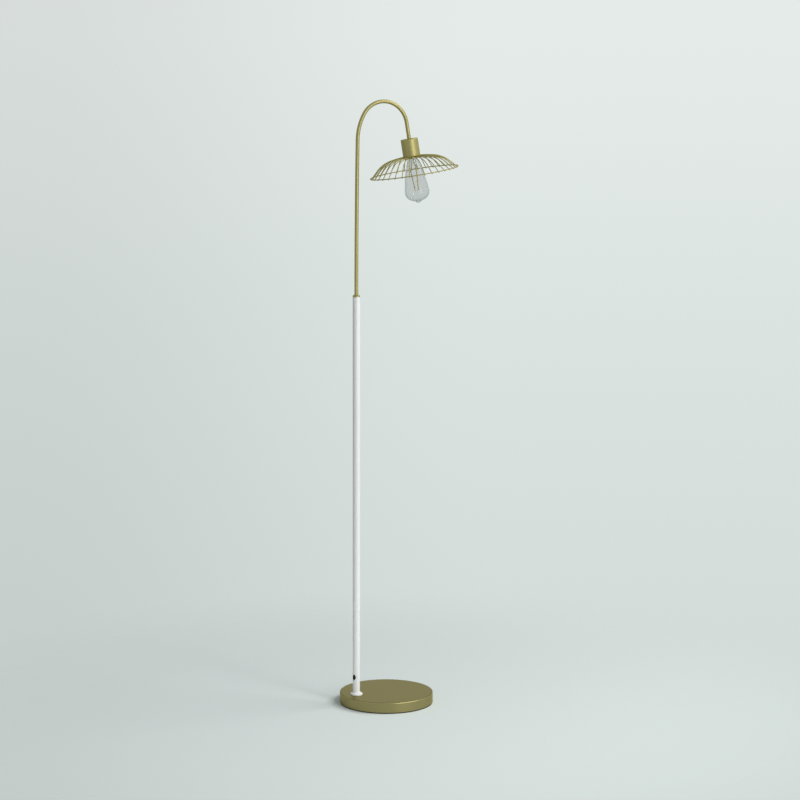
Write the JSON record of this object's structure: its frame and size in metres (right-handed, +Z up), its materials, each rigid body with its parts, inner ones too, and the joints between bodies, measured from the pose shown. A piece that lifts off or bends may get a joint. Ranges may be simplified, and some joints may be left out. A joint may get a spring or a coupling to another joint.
{
  "type": "gooseneck wire cage floor lamp",
  "caption": "Floor lamp: round weighted base, off-centre pole, curved gooseneck and a shallow dome shade of radial wires over a bare bulb",
  "frame": {"origin": "middle of the base's underside, on the floor", "axes": "+Z up, the gooseneck bends from the pole towards +X, so the arm lies in the XZ plane"},
  "size_m": [0.3189, 0.25, 1.6067],
  "materials": {
    "base_cover": "spun steel, satin olive-gold metallic lacquer",
    "base_weight": "cast concrete, raw",
    "base_pad": "soft foam rubber, matt",
    "base_bolt": "zinc plated",
    "base_lock_washer": "zinc plated, sprung",
    "base_washer": "zinc plated",
    "pole_flange": "white powder coat",
    "pole_tube": "white powder coat, satin",
    "pole_foot_plug": "turned, bare",
    "pole_top_plug": "turned, bare",
    "cable_grommet": "black, moulded",
    "arm_collar": "turned, olive-gold metallic lacquer",
    "arm_tube": "bent steel tube, olive-gold metallic lacquer",
    "socket_cup": "spun steel, satin olive-gold metallic lacquer",
    "cup_washer": "zinc plated",
    "holder_cap": "black, moulded",
    "holder_body": "black, moulded",
    "terminal_screws": "turned, bare",
    "screw_shell": "pressed, bare",
    "center_contact": "sprung strip, bare",
    "shade_hub": "pressed ring, olive-gold metallic lacquer",
    "shade_ring_nut": "turned and knurled, olive-gold metallic lacquer",
    "shade_ribs": "steel wire, olive-gold metallic lacquer",
    "shade_rim": "steel wire ring, olive-gold metallic lacquer",
    "bulb_glass": "clear, thin blown",
    "bulb_cap": "nickel plated",
    "bulb_insulator": "black fused glass",
    "bulb_contact": "solder",
    "bulb_stem": "clear, pressed",
    "bulb_filaments": "straw-coloured coated sticks",
    "bulb_leads": "fine drawn wire"
  },
  "bodies": {
    "stand": {"base_cover": "base_cover", "base_weight": "base_weight", "base_pad": "base_pad", "base_bolt": "base_bolt", "base_lock_washer": "base_lock_washer", "base_washer": "base_washer", "pole_flange": "pole_flange", "pole_tube": "pole_tube", "pole_foot_plug": "pole_foot_plug", "pole_top_plug": "pole_top_plug", "cable_grommet": "cable_grommet", "arm_collar": "arm_collar", "arm_tube": "arm_tube", "socket_cup": "socket_cup", "cup_washer": "cup_washer", "holder_cap": "holder_cap", "holder_body": "holder_body", "terminal_screws": "terminal_screws", "screw_shell": "screw_shell", "center_contact": "center_contact", "shade_hub": "shade_hub", "shade_ring_nut": "shade_ring_nut", "shade_ribs": "shade_ribs", "shade_rim": "shade_rim"},
    "bulb": {"bulb_glass": "bulb_glass", "bulb_cap": "bulb_cap", "bulb_insulator": "bulb_insulator", "bulb_contact": "bulb_contact", "bulb_stem": "bulb_stem", "bulb_filaments": "bulb_filaments", "bulb_leads": "bulb_leads"}
  },
  "joints": [
    {"name": "bulb_unscrew", "type": "slide", "parent": "stand", "child": "bulb", "axis": [0.1702, 0, -0.9854], "range_m": [0, 0.00005]}
  ]
}
